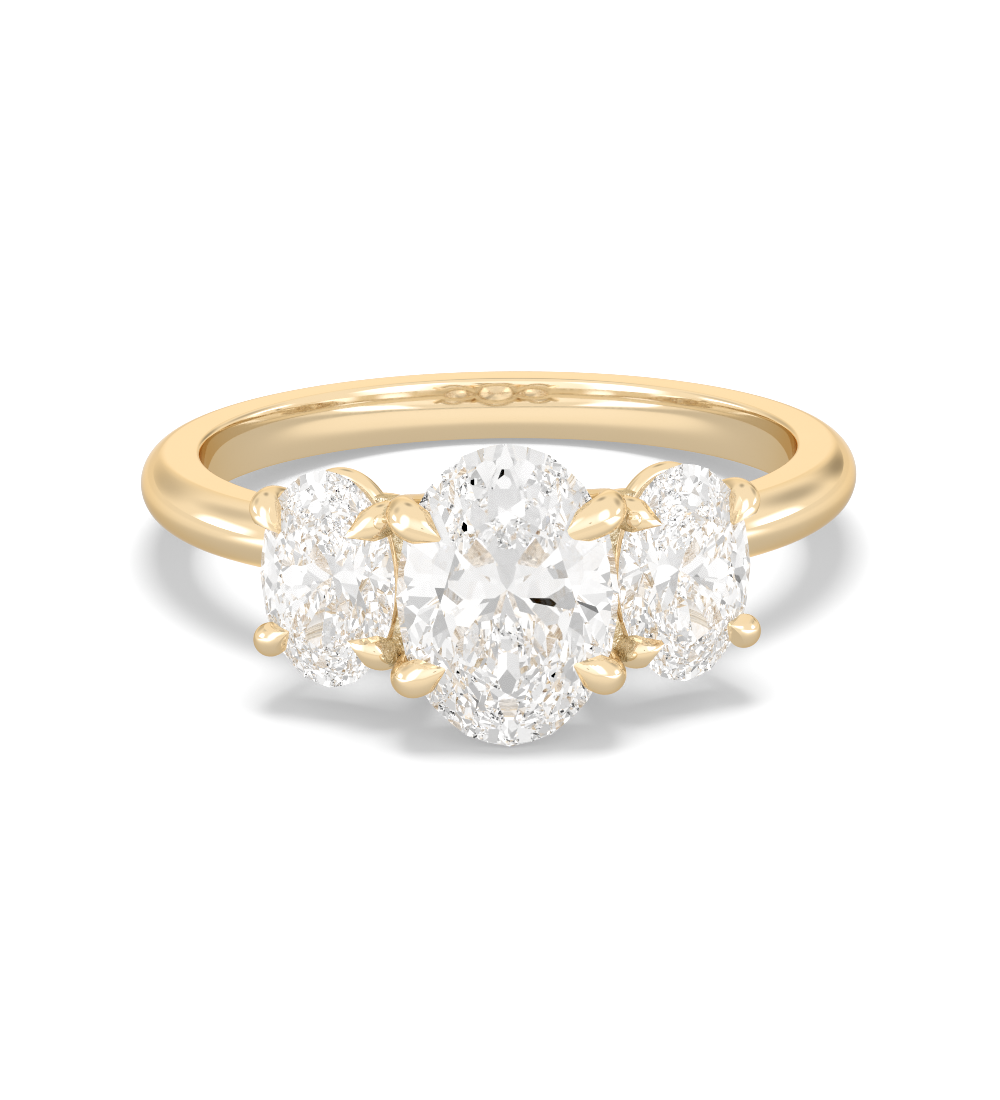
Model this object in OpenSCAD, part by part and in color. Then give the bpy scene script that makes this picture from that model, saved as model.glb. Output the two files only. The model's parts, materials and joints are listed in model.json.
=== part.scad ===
// Three stone ring, lying on its side.
// The finger runs along Z, tipped back a little, and the stones face -Y.
// Millimetres, +Z up, and the surface that the ring lies on is z = 0.
// The ring is drawn about the middle of its finger hole, then laid down at the end, with
// the origin under its middle.

/* [Finger hole] */
// Diameter of the finger hole
hole_d = 16.5; // [14:0.1:22]

/* [Band] */
// Thickness of the band, from the finger hole to its outer face
band_wall = 1.73; // [1.5:0.05:2.4]
// Width of the band along the finger
band_w = 1.78; // [1.6:0.02:3]
// Radius of the band's edges beside the finger
finger_edge_r = 0.32; // [0.1:0.02:0.5]
// Radius of the band's shoulders beside its outer face
shoulder_r = 0.4; // [0.2:0.05:0.6]
// Rise of the outer face above those shoulders
crown_rise = 0.2; // [0.04:0.02:0.3]

/* [Centre stone] */
// Width of the centre stone, round the band
centre_w = 6; // [4.5:0.1:7]
// Length of the centre stone, along the finger
centre_l = 8.4; // [6:0.1:10]
// Depth of the centre stone's point below its girdle
centre_pavilion = 2.6; // [1.8:0.1:2.9]
// Height of the centre stone's table above its girdle
centre_crown = 0.86; // [0.6:0.02:1.1]
// Height of the centre stone's girdle above the outer face of the band
centre_rise = 3.72; // [3.4:0.05:5]

/* [Side stones] */
// Width of a side stone, round the band
side_w = 4; // [3:0.1:5]
// Length of a side stone, along the finger
side_l = 6; // [4.4:0.1:7.5]
// Depth of a side stone's point below its girdle
side_pavilion = 1.74; // [1.2:0.05:1.9]
// Height of a side stone's table above its girdle
side_crown = 0.58; // [0.4:0.02:0.8]
// Angle that a side stone is turned outwards, in degrees
side_turn = 25.3; // [18:0.5:32]
// Step down from the centre stone's girdle to a side stone's inner tip
side_step = 1.3; // [1.1:0.05:1.8]
// Reach of a side stone's inner tip under the centre stone
side_tuck = 0.06; // [0:0.02:0.3]

/* [Stone cut] */
// Thickness of the stones' girdles
girdle = 0.14; // [0.08:0.02:0.24]
// Width of the table as a share of the stone
table_share = 0.6; // [0.5:0.01:0.66]

/* [Claws] */
// Diameter of a centre claw at its round head
centre_claw_d = 1.04; // [0.8:0.02:1.2]
// Diameter of a side claw at its round head
side_claw_d = 0.94; // [0.7:0.02:1]
// Place of the centre claws round the girdle, in degrees from its narrow side
centre_claw_at = 32; // [26:1:42]
// Place of the side claws round the girdle, in degrees from its narrow side
side_claw_at = 37; // [28:1:44]
// Gap between a stone and the metal that holds it
seat_gap = 0.04; // [0.02:0.01:0.08]

/* [Rails] */
// Depth of the centre gallery rail's middle below the girdle
centre_rail_depth = 1.35; // [1.1:0.05:1.8]
// Depth of the side gallery rails' middles below the girdle
side_rail_depth = 1; // [0.9:0.05:1.4]
// Inset of the centre gallery rail's middle from the girdle
centre_rail_inset = 0.56; // [0.4:0.02:0.7]
// Inset of the side gallery rails' middles from the girdle
side_rail_inset = 0.42; // [0.3:0.02:0.5]
// Width of a gallery rail across its wire
rail_w = 0.5; // [0.36:0.02:0.7]
// Height of a gallery rail
rail_h = 0.62; // [0.4:0.02:0.9]
// Half width of the centre base oval, to the middle of its wire
base_half_w = 1.75; // [1.4:0.05:2.2]
// Half length of the centre base oval, to the middle of its wire
base_half_l = 2; // [1.6:0.05:2.6]
// Half length of the side base ovals, to the middle of their wire
side_base_half_l = 1.15; // [1.05:0.05:2]
// Width of the base ovals' wire
base_wire_w = 0.76; // [0.5:0.02:0.9]
// Height of the base ovals' wire
base_wire_h = 1.1; // [0.8:0.05:1.5]
// Clearance between the base ovals and the finger
finger_gap = 0.05; // [0.02:0.01:0.2]

/* [Hidden] */

GOLD = [0.91, 0.79, 0.56];
DIAMOND = [0.93, 0.95, 0.97];

// Steps of a curve: round a claw, round a rail's wire, and along a rail
CLAW_SIDES = 12;
WIRE_SIDES = 8;
RAIL_STEPS = 32;

// A claw above its shaft, in claw radii: steps outwards from the girdle and up from its
// middle, and the radius there. It stands beside the girdle and bends over the crown.
CLAW_OUT = 0;
CLAW_UP = 1;
CLAW_R = 2;
CLAW = [
    [0.26, -0.95, 0.90],
    [0.18, -0.12, 0.98],
    [-0.02, 0.36, 1.00],
    [-0.50, 0.66, 0.94],
    [-1.02, 0.88, 0.70],
    [-1.50, 1.12, 0.40],
    [-1.90, 1.34, 0],
];
// Share of a claw's radius that is left on the side of the stone
CLAW_BACK = 0.5;
// Radius of a claw's foot as a share of its head's radius
CLAW_FOOT = 0.78;
// Turn of the claws' feet round their base ovals, in degrees
CLAW_FOOT_AT = 40;

// Brilliant cut: eight mains, with the girdle's arcs in short steps
MAINS = 8;
ARC_STEPS = 4;
// Distances from the stone's axis, as shares of its half width: the star facets' tips,
// the upper ends of the pavilion mains, and the lower tips of the facets beside them
STAR_TIP = 0.79;
MAIN_TOP = 0.62;
HALF_TIP = 0.24;
// Depth of the pavilion mains' upper ends as a share of the pavilion
MAIN_TOP_DEPTH = 0.44;

hole_r = hole_d / 2;
band_r = hole_r + band_wall;
half_w = band_w / 2;
centre_y = band_r + centre_rise;
side_x = centre_w / 2 + side_w / 2 * cos(side_turn) - side_tuck;
side_y = centre_y - side_step - side_w / 2 * sin(side_turn);
// Distance from the middle of the finger hole to the middle of the base ovals
base_r = hole_r + finger_gap + base_wire_h / 2;
centre_base_depth = centre_y - base_r;
// A side base oval lies on its stone's axis, as far out as the centre one
axis_run = side_x * sin(side_turn) + side_y * cos(side_turn);
side_base_depth = axis_run - sqrt(axis_run ^ 2 - side_x ^ 2 - side_y ^ 2 + base_r ^ 2);
side_base_x = side_x - side_base_depth * sin(side_turn);
side_base_half_w = (side_base_x - base_half_w) / cos(side_turn);
// The windows are cut inside the wire, so that what is left of the band joins it
window_inset = base_wire_w / 4;

function unit(v) = v / norm(v);
function oval(a, b, t) = [a * cos(t), b * sin(t), 0];
function oval_out(a, b, t) = unit([cos(t) / a, sin(t) / b, 0]);
// Skin over rings of points, from a flat end to a point or closed on itself
function ring_faces(n, i, k) = [for (j = [0 : n - 1])
    let (m = (j + 1) % n) each [[i * n + j, k * n + m, i * n + m], [i * n + j, k * n + j, k * n + m]]];
module pointed_skin(rings, tip) {
    n = len(rings[0]);
    last = len(rings) - 1;
    walls = [for (i = [0 : last - 1]) each ring_faces(n, i, i + 1)];
    end = [for (j = [0 : n - 1]) [last * n + j, len(rings) * n, last * n + (j + 1) % n]];
    foot = [for (j = [0 : n - 1]) j];
    polyhedron([for (r = rings) each r, tip], concat(walls, end, [foot]));
}
module closed_skin(rings) {
    n = len(rings[0]);
    m = len(rings);
    polyhedron([for (r = rings) each r], [for (i = [0 : m - 1]) each ring_faces(n, i, (i + 1) % m)]);
}

// The band's section, drawn as it is turned about the finger: distance out, then along Z.
// The outer face is one large arc that runs into the shoulders.
shoulder_x = band_r - crown_rise - shoulder_r;
shoulder_y = half_w - shoulder_r;
crown_r = (crown_rise ^ 2 + 2 * crown_rise * shoulder_r + shoulder_y ^ 2) / (2 * crown_rise);
crown_x = band_r - crown_r;
crown_way = unit([shoulder_x - crown_x, shoulder_y]);
// What a round of radius r about a centre takes off the corner between two directions
module round_off(centre, r, way_a, way_b) {
    far = 4 * r;
    difference() {
        translate(centre)
            polygon([[0, 0], far * way_a, far * (way_a + way_b), far * way_b]);
        translate(centre)
            circle(r, $fn = 64);
    }
}
module band_section() {
    edge = [hole_r + finger_edge_r, half_w - finger_edge_r];
    shoulder = [shoulder_x, shoulder_y];
    difference() {
        intersection() {
            translate([hole_r, -half_w])
                square([band_wall, band_w]);
            translate([crown_x, 0])
                circle(crown_r, $fn = 96);
        }
        for (s = [-1, 1]) {
            round_off([edge.x, s * edge.y], finger_edge_r, [-1, 0], [0, s]);
            round_off([shoulder.x, s * shoulder.y], shoulder_r, [crown_way.x, s * crown_way.y], [0, s]);
        }
    }
}

// Puts a child drawn about a stone's girdle in its place: x round the band, y along the
// finger and z outwards. The side is -1 for left, 0 for the centre and 1 for right.
module at_stone(side) {
    translate([side * side_x, side == 0 ? -centre_y : -side_y, 0])
        rotate([0, 0, side * side_turn])
            rotate([90, 0, 0])
                children();
}

// An oval window through the band inside a base oval, which goes past both its faces
module window(a, b, depth) {
    through = 2 * (band_wall + base_wire_h);
    translate([0, 0, -depth - through / 2])
        linear_extrude(through)
            polygon([for (i = [0 : RAIL_STEPS - 1])
                let (p = oval(a - window_inset, b - window_inset, i * 360 / RAIL_STEPS)) [p.x, p.y]]);
}
// The band is open between the middles of the side base ovals, which bridge it there with
// the centre one
module band() {
    difference() {
        rotate_extrude($fn = 180)
            band_section();
        translate([-side_base_x, -2 * band_r, -band_w])
            cube([2 * side_base_x, 2 * band_r, 2 * band_w]);
        for (side = [-1, 1])
            at_stone(side)
                window(side_base_half_w, side_base_half_l, side_base_depth);
    }
}

// An oval of wire at a depth below the girdle. Its section is an oval, w wide and h high.
function rail_ring(a, b, depth, w, h, t) = [for (j = [0 : WIRE_SIDES - 1])
    let (f = -(j + 0.5) * 360 / WIRE_SIDES, full = 1 / cos(180 / WIRE_SIDES))
    oval(a, b, t) + oval_out(a, b, t) * w / 2 * full * cos(f) + [0, 0, h / 2 * full * sin(f) - depth]];
module rail(a, b, depth, w, h) {
    closed_skin([for (i = [0 : RAIL_STEPS - 1]) rail_ring(a, b, depth, w, h, i * 360 / RAIL_STEPS)]);
}

// A claw's middle line from its foot on the base oval to its tip, and its radii
function claw_line(a, b, t, r, foot) = concat([foot],
    [for (c = CLAW) oval(a, b, t) + oval_out(a, b, t) * c[CLAW_OUT] * r + [0, 0, c[CLAW_UP] * r]]);
function claw_radii(r) = concat([CLAW_FOOT * r], [for (c = CLAW) c[CLAW_R] * r]);
function claw_rings(a, b, t, r, foot) =
    let (line = claw_line(a, b, t, r, foot), radii = claw_radii(r))
    [for (i = [0 : len(line) - 2])
        let (along = unit(line[i + 1] - line[max(i - 1, 0)]),
            o = oval_out(a, b, t),
            out = unit(o - along * (o * along)),
            across = cross(along, out))
        [for (j = [0 : CLAW_SIDES - 1])
            let (f = j * 360 / CLAW_SIDES, c = cos(f))
            line[i] + radii[i] * (out * (c < 0 ? c * CLAW_BACK : c) + across * sin(f))]];
function claw_places(at) = [at, 180 - at, 180 + at, 360 - at];
function claw_foot(base_a, base_b, t, depth) =
    let (turn = t < 180 ? 1 : -1, near = abs(cos(t)) / cos(t))
    [near * base_a * cos(CLAW_FOOT_AT), turn * base_b * sin(CLAW_FOOT_AT), -depth];
module claws(a, b, at, r, base_a, base_b, depth) {
    for (t = claw_places(at)) {
        foot = claw_foot(base_a, base_b, t, depth);
        pointed_skin(claw_rings(a, b, t, r, foot), claw_line(a, b, t, r, foot)[len(CLAW)]);
    }
}

// A setting: the base oval beside the finger, the gallery rail under the girdle, the claws
module setting(w, l, rail_depth, rail_inset, base_a, base_b, depth, at, d) {
    rail(base_a, base_b, depth, base_wire_w, base_wire_h);
    rail(w / 2 - rail_inset, l / 2 - rail_inset, rail_depth, rail_w, rail_h);
    claws(w / 2, l / 2, at, d / 2, base_a, base_b, depth);
}

// A brilliant cut oval, widened by a gap for the seat that is cut for it. The points are
// in rings from the table to the tip, as shares of the half width and half length.
function cut_point(share, t, h) = [share * cos(t), share * sin(t), h];
// Height of a main facet's plane where it meets a point beside its middle line
function on_main(share, t, inner, h_inner, outer, h_outer) =
    h_inner + (h_outer - h_inner) * (share * cos(t) - inner) / (outer - inner);
// Height of the plane through three points at a fourth one's place
function on_plane(p, q, r, s) =
    let (n = cross(q - p, r - p)) p.z - (n.x * (s.x - p.x) + n.y * (s.y - p.y)) / n.z;

function brilliant(crown, girdle_h, pavilion) =
    let (step = 360 / MAINS,
        top = girdle_h / 2,
        star_h = on_main(STAR_TIP, step / 2, table_share, top + crown, 1, top),
        main_h = -top - pavilion * MAIN_TOP_DEPTH,
        half_h = on_main(HALF_TIP, step / 2, 0, -top - pavilion, MAIN_TOP, main_h),
        table = [for (k = [0 : MAINS - 1]) cut_point(table_share, k * step, top + crown)],
        star = [for (k = [0 : MAINS - 1]) cut_point(STAR_TIP, (k + 0.5) * step, star_h)],
        upper = girdle_line(star, top),
        main = [for (k = [0 : MAINS - 1]) cut_point(MAIN_TOP, k * step, main_h)],
        half = [for (k = [0 : MAINS - 1]) cut_point(HALF_TIP, (k + 0.5) * step, half_h)],
        lower = lower_line(main, -top))
    [table, star, upper, lower, main, half, [[0, 0, -top - pavilion]]];
// Each upper girdle facet is a flat triangle that meets the girdle in a shallow scallop
function girdle_line(star, top) = [for (g = [0 : 2 * MAINS * ARC_STEPS - 1])
    let (step = 180 / MAINS, f = floor(g / ARC_STEPS), t = g * step / ARC_STEPS,
        p = cut_point(1, f * step, top), q = cut_point(1, (f + 1) * step, top),
        s = star[floor(f / 2)], at = cut_point(1, t, top))
    [at.x, at.y, on_plane(p, q, s, at)]];
function lower_line(main, bottom) = [for (g = [0 : 2 * MAINS * ARC_STEPS - 1])
    let (step = 180 / MAINS, f = floor(g / ARC_STEPS), t = g * step / ARC_STEPS,
        p = cut_point(1, f * step, bottom), q = cut_point(1, (f + 1) * step, bottom),
        s = main[floor((f + 1) / 2) % MAINS], at = cut_point(1, t, bottom))
    [at.x, at.y, on_plane(p, q, s, at)]];

// The facets of a brilliant, from the places of its rings' first points
function brilliant_faces() =
    let (n = MAINS, g = 2 * n * ARC_STEPS, star = n, upper = 2 * n, lower = upper + g,
        main = lower + g, half = main + n, tip = half + n)
    concat(
        [[for (k = [n - 1 : -1 : 0]) k]],
        [for (k = [0 : n - 1]) [k, (k + 1) % n, star + k]],
        [for (k = [0 : n - 1]) [k, star + k, upper + 2 * k * ARC_STEPS, star + (k + n - 1) % n]],
        [for (f = [0 : 2 * n - 1]) concat([star + floor(f / 2)],
            [for (i = [ARC_STEPS : -1 : 0]) upper + (f * ARC_STEPS + i) % g])],
        [for (i = [0 : g - 1]) let (j = (i + 1) % g) each [[upper + i, upper + j, lower + j],
            [upper + i, lower + j, lower + i]]],
        [for (f = [0 : 2 * n - 1]) concat([main + floor((f + 1) / 2) % n],
            [for (i = [0 : ARC_STEPS]) lower + (f * ARC_STEPS + i) % g])],
        [for (k = [0 : n - 1]) let (j = (k + 1) % n, mid = lower + 2 * k * ARC_STEPS + ARC_STEPS)
            each [[main + k, mid, half + k], [mid, main + j, half + k]]],
        [for (k = [0 : n - 1]) [tip, half + (k + n - 1) % n, main + k, half + k]]
    );
module stone(w, l, crown, pavilion, gap = 0) {
    rings = brilliant(crown + gap, girdle + gap, pavilion + gap);
    points = [for (r = rings) for (p = r) [p.x * (w / 2 + gap), p.y * (l / 2 + gap), p.z]];
    polyhedron(points, brilliant_faces());
}
module centre_cut(gap = 0) {
    at_stone(0) stone(centre_w, centre_l, centre_crown, centre_pavilion, gap);
}
module side_cut(side, gap = 0) {
    at_stone(side) stone(side_w, side_l, side_crown, side_pavilion, gap);
}

// How the ring lies: on the round of the band behind, and in front on whichever low point of
// a setting the surface meets first. The line that touches both gives the tilt.
// A setting's low points are its stone's tip, its gallery rail and its base oval, as [Y, Z].
function low_points(y, turn, l, rail_depth, rail_inset, base_depth, base_l) = [
    [-y + girdle / 2 * cos(turn), -l / 2],
    [-y + (rail_depth + rail_h / 2) * cos(turn), -(l / 2 - rail_inset + rail_w / 2)],
    [-y + (base_depth + base_wire_h / 2) * cos(turn), -(base_l + base_wire_w / 2)]];
LOW_POINTS = concat(
    low_points(centre_y, 0, centre_l, centre_rail_depth, centre_rail_inset, centre_base_depth, base_half_l),
    low_points(side_y, side_turn, side_l, side_rail_depth, side_rail_inset, side_base_depth,
        side_base_half_l));
function touch_tilt(p) = let (d = [shoulder_x - p.x, -shoulder_y - p.y])
    atan2(d.y, d.x) - asin(shoulder_r / norm(d));
lie_tilt = max([for (p = LOW_POINTS) touch_tilt(p)]);
lift = shoulder_x * sin(lie_tilt) + shoulder_y * cos(lie_tilt) + shoulder_r;
// The origin is under the middle of the ring as it lies, from the centre stone's table in
// front to the crown of the band behind
front_reach = (centre_y + girdle / 2 + centre_crown) * cos(lie_tilt)
    + table_share * centre_l / 2 * sin(lie_tilt);
back_reach = crown_x * cos(lie_tilt) + crown_r;
module lay_down() {
    translate([0, (front_reach - back_reach) / 2, lift])
        rotate([-lie_tilt, 0, 0])
            children();
}

module band_and_settings() {
    color(GOLD)
        lay_down()
            difference() {
                union() {
                    band();
                    at_stone(0)
                        setting(centre_w, centre_l, centre_rail_depth, centre_rail_inset, base_half_w,
                            base_half_l, centre_base_depth, centre_claw_at, centre_claw_d);
                    for (side = [-1, 1])
                        at_stone(side)
                            setting(side_w, side_l, side_rail_depth, side_rail_inset, side_base_half_w,
                                side_base_half_l, side_base_depth, side_claw_at, side_claw_d);
                }
                centre_cut(seat_gap);
                for (side = [-1, 1])
                    side_cut(side, seat_gap);
            }
}
module centre_stone() {
    color(DIAMOND)
        lay_down()
            centre_cut();
}
module left_stone() {
    color(DIAMOND)
        lay_down()
            side_cut(-1);
}
module right_stone() {
    color(DIAMOND)
        lay_down()
            side_cut(1);
}

band_and_settings();
centre_stone();
left_stone();
right_stone();
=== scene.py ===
"""Three stone ring: the finish of its gold and its three oval diamonds, on a white table.

The ring is drawn about the middle of its finger hole in millimetres, with the finger along
Z and the stones facing -Y, and each piece is then laid down where the frame's ring lies.
"""

import json
import math

import bpy
import bmesh
import numpy as np
from mathutils import Matrix, Vector, noise


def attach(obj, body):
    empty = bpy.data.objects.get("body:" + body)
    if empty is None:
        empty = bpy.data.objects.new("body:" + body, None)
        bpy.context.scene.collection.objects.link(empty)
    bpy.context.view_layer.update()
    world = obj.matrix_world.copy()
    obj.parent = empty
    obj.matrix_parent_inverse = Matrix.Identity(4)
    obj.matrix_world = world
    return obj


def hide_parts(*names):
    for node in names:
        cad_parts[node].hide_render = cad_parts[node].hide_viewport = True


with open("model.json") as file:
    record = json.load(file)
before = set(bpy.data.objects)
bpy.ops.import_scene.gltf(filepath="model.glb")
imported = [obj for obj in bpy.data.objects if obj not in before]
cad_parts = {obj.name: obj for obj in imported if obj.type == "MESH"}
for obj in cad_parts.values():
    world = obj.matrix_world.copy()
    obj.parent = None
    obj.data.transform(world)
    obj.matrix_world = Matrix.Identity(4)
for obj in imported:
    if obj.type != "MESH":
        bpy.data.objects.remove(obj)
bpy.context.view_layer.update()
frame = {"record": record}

# Sizes of the ring in millimetres and degrees. They are those of its solids, but for a
# crisper edge at the finger, rounder shoulders and a centre gallery rail set further in
MM = 0.001
BAND_WALL = 1.73
BAND_W = 1.78
FINGER_EDGE_R = 0.14
SHOULDER_R = 0.55
CROWN_RISE = 0.2
CENTRE = {"w": 6.0, "l": 8.4, "pavilion": 2.6, "crown": 0.86, "claw_d": 1.04,
          "rail_depth": 1.35, "rail_inset": 0.68}
SIDE = {"w": 4.0, "l": 6.0, "pavilion": 1.74, "crown": 0.58, "claw_d": 0.94,
        "rail_depth": 1.0, "rail_inset": 0.42}
CENTRE_RISE = 3.72
SIDE_TURN = 25.3
SIDE_STEP = 1.3
SIDE_TUCK = 0.06
GIRDLE = 0.14
SEAT_GAP = 0.04
RAIL_W = 0.5
RAIL_H = 0.62
BASE_HALF_W = 1.75
BASE_HALF_L = 2.0
SIDE_BASE_HALF_L = 1.15
BASE_WIRE_W = 0.76
BASE_WIRE_H = 1.1
FINGER_GAP = 0.05

# Where the ring lies, from the finger hole of the frame's record
hole = next(m for m in frame["record"]["mounts"] if m["name"] == "finger_hole")
HOLE_R = hole["dims"]["r_mm"]
finger_axis = Vector(hole["axis"]).normalized()
ring_middle = Vector(hole["pos_m"])
round_x = Vector((1, 0, 0))
round_y = finger_axis.cross(round_x)
TURNED = Matrix((round_x, round_y, finger_axis)).transposed()
LAY = Matrix.Translation(ring_middle) @ TURNED.to_4x4() @ Matrix.Scale(MM, 4)

# Places of the stones and of the base ovals beside the finger
side_sin = math.sin(math.radians(SIDE_TURN))
side_cos = math.cos(math.radians(SIDE_TURN))
band_r = HOLE_R + BAND_WALL
centre_y = band_r + CENTRE_RISE
side_x = CENTRE["w"] / 2 + SIDE["w"] / 2 * side_cos - SIDE_TUCK
side_y = centre_y - SIDE_STEP - SIDE["w"] / 2 * side_sin
base_r = HOLE_R + FINGER_GAP + BASE_WIRE_H / 2
axis_run = side_x * side_sin + side_y * side_cos
CENTRE["base"] = (BASE_HALF_W, BASE_HALF_L)
CENTRE["base_depth"] = centre_y - base_r
SIDE["base_depth"] = axis_run - math.sqrt(axis_run ** 2 - side_x ** 2 - side_y ** 2 + base_r ** 2)
side_base_x = side_x - SIDE["base_depth"] * side_sin
SIDE["base"] = ((side_base_x - BASE_HALF_W) / side_cos, SIDE_BASE_HALF_L)


def at_stone(side):
    """From a stone's own axes, x round the band, y along the finger, z outwards, to the ring's."""
    place = Vector((side * side_x, -centre_y if side == 0 else -side_y, 0))
    turn = Matrix.Rotation(math.radians(side * SIDE_TURN), 4, "Z")
    return Matrix.Translation(place) @ turn @ Matrix.Rotation(math.radians(90), 4, "X")


# Mesh helpers. Points as near as these are one, where a piece is cut and when it's finished
SAME_POINT = 1e-5
SAME_CORNER = 1e-6
OVAL_STEPS = 144


def put(name, mesh, material=None):
    piece = bpy.data.objects.new(name, mesh)
    bpy.context.scene.collection.objects.link(piece)
    if material and not mesh.materials:
        mesh.materials.append(material)
    return piece


def mesh_of(name, points, faces, place=Matrix.Identity(4)):
    mesh = bpy.data.meshes.new(name)
    mesh.from_pydata([Vector(p) for p in points], [], faces)
    mesh.transform(place)
    if place.determinant() < 0:
        mesh.flip_normals()
    mesh.validate()
    return mesh


def finished(piece):
    """The piece with its modifiers made real."""
    graph = bpy.context.evaluated_depsgraph_get()
    mesh = bpy.data.meshes.new_from_object(piece.evaluated_get(graph))
    old = piece.data
    piece.modifiers.clear()
    piece.data = mesh
    bpy.data.meshes.remove(old)
    return piece


def smooth(piece, angle):
    """Smooth shading, with edges sharper than the angle in degrees kept crisp."""
    piece.data.shade_smooth()
    piece.data.set_sharp_from_angle(angle=math.radians(angle))
    return piece


# Node helpers. What feeds a socket is a plain value or another node's output
def feed(tree, value, socket):
    if isinstance(value, bpy.types.NodeSocket):
        tree.links.new(value, socket)
    else:
        socket.default_value = value


def sockets(tree, inputs, outputs):
    """Gives a group its sockets, each by its name and kind."""
    for way, named in (("INPUT", inputs), ("OUTPUT", outputs)):
        for name, kind in named:
            tree.interface.new_socket(name, in_out=way, socket_type="NodeSocket" + kind)


def fed(tree, made, values, result):
    """Feeds a node's sockets in their order and gives its result."""
    for value, socket in zip(values, made.inputs):
        feed(tree, value, socket)
    return made.outputs[result]


def math_of(tree, operation, *values, clamp=False):
    made = tree.nodes.new("ShaderNodeMath")
    made.operation = operation
    made.use_clamp = clamp
    return fed(tree, made, values, "Value")


def vector_of(tree, operation, *values):
    made = tree.nodes.new("ShaderNodeVectorMath")
    made.operation = operation
    return fed(tree, made, values, "Value" if operation in ("DOT_PRODUCT", "LENGTH") else "Vector")


def ranged(tree, value, smoothly=False, **ends):
    """A value carried from one range to another. Each runs from 0 to 1 unless its ends are given."""
    made = tree.nodes.new("ShaderNodeMapRange")
    if smoothly:
        made.interpolation_type = "SMOOTHSTEP"
    feed(tree, value, made.inputs["Value"])
    for name, end in ends.items():
        feed(tree, end, made.inputs[name.replace("_", " ").title()])
    return made.outputs["Result"]


def noise_of(tree, place, scale, detail, roughness=0.5):
    made = tree.nodes.new("ShaderNodeTexNoise")
    for name, value in (("Vector", place), ("Scale", scale), ("Detail", detail), ("Roughness", roughness)):
        feed(tree, value, made.inputs[name])
    return made.outputs["Fac"]


def mixed(tree, share, a, b, kind="RGBA"):
    """Something between two colours, or between two levels where the kind is FLOAT."""
    made = tree.nodes.new("ShaderNodeMix")
    made.data_type = kind
    feed(tree, share, made.inputs["Factor"])
    for name, value in (("A", a), ("B", b)):
        feed(tree, (*value, 1) if isinstance(value, tuple) else value, made.inputs[name])
    return made.outputs["Result"]


def either(tree, share, a, b):
    """One shader or another."""
    return fed(tree, tree.nodes.new("ShaderNodeMixShader"), (share, a, b), "Shader")


def glowing(tree, level, colour=(1, 1, 1, 1)):
    return fed(tree, tree.nodes.new("ShaderNodeEmission"), (colour, level), "Emission")


def in_mm(tree, place):
    """A place in millimetres, for what is scaled by the millimetre."""
    return vector_of(tree, "MULTIPLY", place, (1 / MM, 1 / MM, 1 / MM))


def new_material(name):
    material = bpy.data.materials.new(name.replace(" ", "_"))
    material.use_nodes = True
    return material, material.node_tree.nodes["Principled BSDF"]


# Materials. Gold is painted paler where another piece of gold mirrors it, and palest through a stone: a
# painted reflection colour, by the kind of ray.
GOLD_COLOUR = (0.95, 0.745, 0.47)
GOLD_IN_GOLD = (0.80, 0.73, 0.60)
GOLD_IN_STONE = (0.93, 0.88, 0.82)
GOLD_EDGE = (0.93, 0.78, 0.56)
DIAMOND_SHEEN = (0.4, 0.4, 0.4)
DIAMOND_IOR = 2.417
# How each surface is worked: its colour and the tone that it drifts to, how often to the
# millimetre it drifts and is grained, its smoothest and roughest, and the height of its
# waves and of its grain in millimetres
WORK = {
    "polished gold": {"Colour": GOLD_COLOUR, "Tone": (0.93, 0.72, 0.44), "Drift": 0.55, "Grain": 7,
                      "Smoothest": 0.035, "Roughest": 0.075, "Wave height": 0.0035, "Grain height": 0.0},
    # The cast gold's colour drifts to a dark tone: painted shade in the crevices between the stones, over
    # the rough skin of the casting
    "cast gold": {"Colour": (1.0, 0.82, 0.52), "Tone": (0.36, 0.26, 0.12), "Drift": 8, "Grain": 20,
                  "Smoothest": 0.16, "Roughest": 0.34, "Wave height": 0.05, "Grain height": 0.02},
    "ground girdle": {"Colour": (0.97, 0.965, 0.96), "Tone": (0.94, 0.935, 0.93), "Drift": 1.5,
                      "Grain": 10, "Smoothest": 0.12, "Roughest": 0.3, "Wave height": 0.0,
                      "Grain height": 0.001},
}
CLEAR = (0.99, 0.987, 0.984)
CLOUDED = (0.99, 0.98, 0.97)
CLOUD_SCALE = 0.5
MARK_DETAIL = 1
# Where the grain is as smooth and as rough as it gets, as shares of its pattern
GRAIN_SMOOTH = 0.3
GRAIN_ROUGH = 0.7


def worked_surface():
    """The marks that casting, grinding and polishing leave, shared by gold and stones. On cast gold the
    drift of colour is painted shade.
    """
    tree = bpy.data.node_groups.new("worked surface", "ShaderNodeTree")
    sockets(tree, (("Place", "Vector"), ("Colour", "Color"), ("Tone", "Color"), ("Drift", "Float"),
                   ("Grain", "Float"), ("Smoothest", "Float"), ("Roughest", "Float"),
                   ("Wave height", "Float"), ("Grain height", "Float")),
            (("Colour", "Color"), ("Roughness", "Float"), ("Height", "Float")))
    given = tree.nodes.new("NodeGroupInput").outputs
    result = tree.nodes.new("NodeGroupOutput").inputs
    place = in_mm(tree, given["Place"])
    drift = noise_of(tree, place, given["Drift"], MARK_DETAIL)
    grain = noise_of(tree, place, given["Grain"], MARK_DETAIL)
    feed(tree, mixed(tree, drift, given["Colour"], given["Tone"]), result["Colour"])
    feed(tree, ranged(tree, grain, from_min=GRAIN_SMOOTH, from_max=GRAIN_ROUGH,
                      to_min=given["Smoothest"], to_max=given["Roughest"]), result["Roughness"])
    waves = math_of(tree, "MULTIPLY", drift, given["Wave height"])
    grains = math_of(tree, "MULTIPLY", grain, given["Grain height"])
    feed(tree, math_of(tree, "ADD", waves, grains), result["Height"])
    return tree


WORKED = worked_surface()


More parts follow.
